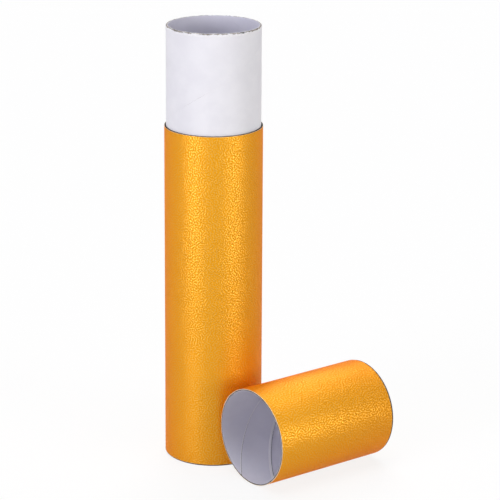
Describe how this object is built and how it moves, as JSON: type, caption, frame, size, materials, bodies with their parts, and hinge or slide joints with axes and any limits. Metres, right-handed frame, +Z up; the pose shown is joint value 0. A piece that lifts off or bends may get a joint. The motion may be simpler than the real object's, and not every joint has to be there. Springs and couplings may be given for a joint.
{
  "type": "cardboard mailing tube",
  "caption": "Round mailing tube of wound board in orange pearl paper, with a white inner neck and its slip-on cap lying beside it, for posting rolled papers.",
  "frame": {"origin": "centre of the tube's base, on the floor", "axes": "+Z up along the tube's axis, +X along the lying cap's axis from its mouth to its closed end"},
  "size_m": [0.0842, 0.1001, 0.2265],
  "materials": {
    "pearl_paper": "orange pearl paper with a fine embossed grain",
    "white_board": "matt white lined board",
    "grey_board": "bare grey board",
    "end_card": "card disc faced with orange pearl paper"
  },
  "bodies": {
    "root": {"base_disc": "end_card", "body_tube": "grey_board", "body_wrap": "pearl_paper", "neck_tube": "white_board", "cap_tube": "white_board", "cap_disc": "end_card", "cap_wrap": "pearl_paper"}
  },
  "joints": []
}
